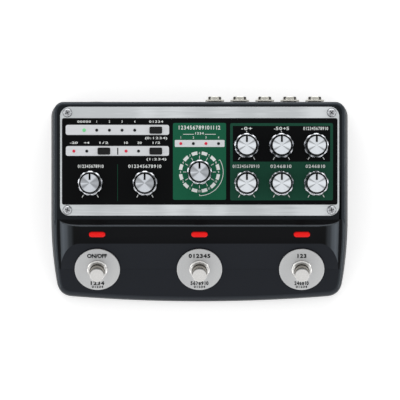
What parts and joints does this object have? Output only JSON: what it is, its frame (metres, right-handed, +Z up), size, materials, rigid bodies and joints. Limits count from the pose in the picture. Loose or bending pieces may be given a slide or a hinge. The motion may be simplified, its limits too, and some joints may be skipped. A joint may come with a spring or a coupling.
{
  "type": "tape echo unit",
  "caption": "Desktop echo unit: cast case with a scooped foot deck, screwed-on panel with fluted knobs and buttons, sprung footswitches and rear sockets.",
  "frame": {"origin": "on the floor, under the middle of the unit's box", "axes": "+X along the long side to the right as seen from the front, +Y from the footswitches to the sockets, +Z up"},
  "size_m": [0.192, 0.132, 0.052],
  "materials": {
    "case_enamel": "fine satin powder coat",
    "cover_steel": "plated sheet",
    "panel_aluminium": "satin with printed areas",
    "screw_steel": "bright plated",
    "knob_chrome": "bright plated with a spun aluminium cap",
    "switch_chrome": "bright plated",
    "plate_silver": "satin with black print",
    "socket_nickel": "nickel plated",
    "spring_steel": "drawn wire",
    "black_plastic": "moulded",
    "button_rubber": "moulded with soft edges",
    "foot_rubber": "moulded",
    "board_green": "solder mask",
    "light_guide": "clear moulded",
    "lamp_red": "lit red lens"
  },
  "bodies": {
    "case": {"chassis": "case_enamel", "bottom_cover": "cover_steel", "top_panel": "panel_aluminium", "panel_board": "board_green", "main_board": "board_green", "rubber_foot_1": "foot_rubber", "rubber_foot_2": "foot_rubber", "rubber_foot_3": "foot_rubber", "rubber_foot_4": "foot_rubber", "panel_screw_1": "screw_steel", "panel_screw_2": "screw_steel", "panel_screw_3": "screw_steel", "panel_screw_4": "screw_steel", "memory_light_bar": "light_guide", "input_light_bar": "light_guide", "head_light_bar": "light_guide", "phone_jack_1": "black_plastic", "phone_jack_2": "black_plastic", "phone_jack_3": "black_plastic", "phone_jack_4": "black_plastic", "phone_jack_5": "black_plastic", "jack_nut_1": "socket_nickel", "jack_nut_2": "socket_nickel", "jack_nut_3": "socket_nickel", "jack_nut_4": "socket_nickel", "jack_nut_5": "socket_nickel", "midi_out_jack": "black_plastic", "midi_in_jack": "black_plastic", "usb_port": "socket_nickel", "dc_inlet": "black_plastic", "footswitch_plate_1": "plate_silver", "footswitch_plate_2": "plate_silver", "footswitch_plate_3": "plate_silver", "footswitch_nut_1": "switch_chrome", "footswitch_nut_2": "switch_chrome", "footswitch_nut_3": "switch_chrome", "footswitch_housing_1": "switch_chrome", "footswitch_housing_2": "switch_chrome", "footswitch_housing_3": "switch_chrome", "footswitch_spring_1": "spring_steel", "footswitch_spring_2": "spring_steel", "footswitch_spring_3": "spring_steel", "footswitch_lamp_lens_1": "lamp_red", "footswitch_lamp_lens_2": "lamp_red", "footswitch_lamp_lens_3": "lamp_red"},
    "saturation_dial": {"knob_1": "knob_chrome"},
    "flutter_dial": {"knob_2": "knob_chrome"},
    "selector_dial": {"knob_3": "knob_chrome"},
    "bass_dial": {"knob_4": "knob_chrome"},
    "treble_dial": {"knob_5": "knob_chrome"},
    "reverb_dial": {"knob_6": "knob_chrome"},
    "rate_dial": {"knob_7": "knob_chrome"},
    "intensity_dial": {"knob_8": "knob_chrome"},
    "echo_dial": {"knob_9": "knob_chrome"},
    "memory_key": {"panel_button_1": "button_rubber"},
    "input_key": {"panel_button_2": "button_rubber"},
    "tape_key": {"panel_button_3": "button_rubber"},
    "left_pedal": {"footswitch_plunger_1": "switch_chrome"},
    "middle_pedal": {"footswitch_plunger_2": "switch_chrome"},
    "right_pedal": {"footswitch_plunger_3": "switch_chrome"}
  },
  "joints": [
    {"name": "saturation_turn", "type": "hinge", "parent": "case", "child": "saturation_dial", "pos_m": [-0.0695, 0.0104, 0.046], "axis": [0, 0, 1], "range_deg": [-150, 150]},
    {"name": "flutter_turn", "type": "hinge", "parent": "case", "child": "flutter_dial", "pos_m": [-0.0347, 0.0104, 0.046], "axis": [0, 0, 1], "range_deg": [-150, 150]},
    {"name": "selector_turn", "type": "hinge", "parent": "case", "child": "selector_dial", "pos_m": [0, 0.0175, 0.046], "axis": [0, 0, 1], "range_deg": [-180, 150]},
    {"name": "bass_turn", "type": "hinge", "parent": "case", "child": "bass_dial", "pos_m": [0.03, 0.0344, 0.046], "axis": [0, 0, 1], "range_deg": [-150, 150]},
    {"name": "treble_turn", "type": "hinge", "parent": "case", "child": "treble_dial", "pos_m": [0.0521, 0.0344, 0.046], "axis": [0, 0, 1], "range_deg": [-150, 150]},
    {"name": "reverb_turn", "type": "hinge", "parent": "case", "child": "reverb_dial", "pos_m": [0.07419, 0.0344, 0.046], "axis": [0, 0, 1], "range_deg": [-150, 150]},
    {"name": "rate_turn", "type": "hinge", "parent": "case", "child": "rate_dial", "pos_m": [0.03, 0.0104, 0.046], "axis": [0, 0, 1], "range_deg": [-150, 150]},
    {"name": "intensity_turn", "type": "hinge", "parent": "case", "child": "intensity_dial", "pos_m": [0.0521, 0.0104, 0.046], "axis": [0, 0, 1], "range_deg": [-150, 150]},
    {"name": "echo_turn", "type": "hinge", "parent": "case", "child": "echo_dial", "pos_m": [0.07419, 0.0104, 0.046], "axis": [0, 0, 1], "range_deg": [-150, 150]},
    {"name": "memory_press", "type": "slide", "parent": "case", "child": "memory_key", "axis": [0, 0, -1], "range_m": [0, 0.0005], "stiffness_N_per_m": 3000},
    {"name": "input_press", "type": "slide", "parent": "case", "child": "input_key", "axis": [0, 0, -1], "range_m": [0, 0.0005], "stiffness_N_per_m": 3000},
    {"name": "tape_press", "type": "slide", "parent": "case", "child": "tape_key", "axis": [0, 0, -1], "range_m": [0, 0.0005], "stiffness_N_per_m": 3000},
    {"name": "left_press", "type": "slide", "parent": "case", "child": "left_pedal", "axis": [0, 0.4083, -0.9128], "range_m": [0, 0.0023], "stiffness_N_per_m": 2500, "deforming": ["footswitch_spring_1"]},
    {"name": "middle_press", "type": "slide", "parent": "case", "child": "middle_pedal", "axis": [0, 0.4083, -0.9128], "range_m": [0, 0.0023], "stiffness_N_per_m": 2500, "deforming": ["footswitch_spring_2"]},
    {"name": "right_press", "type": "slide", "parent": "case", "child": "right_pedal", "axis": [0, 0.4083, -0.9128], "range_m": [0, 0.0023], "stiffness_N_per_m": 2500, "deforming": ["footswitch_spring_3"]}
  ]
}
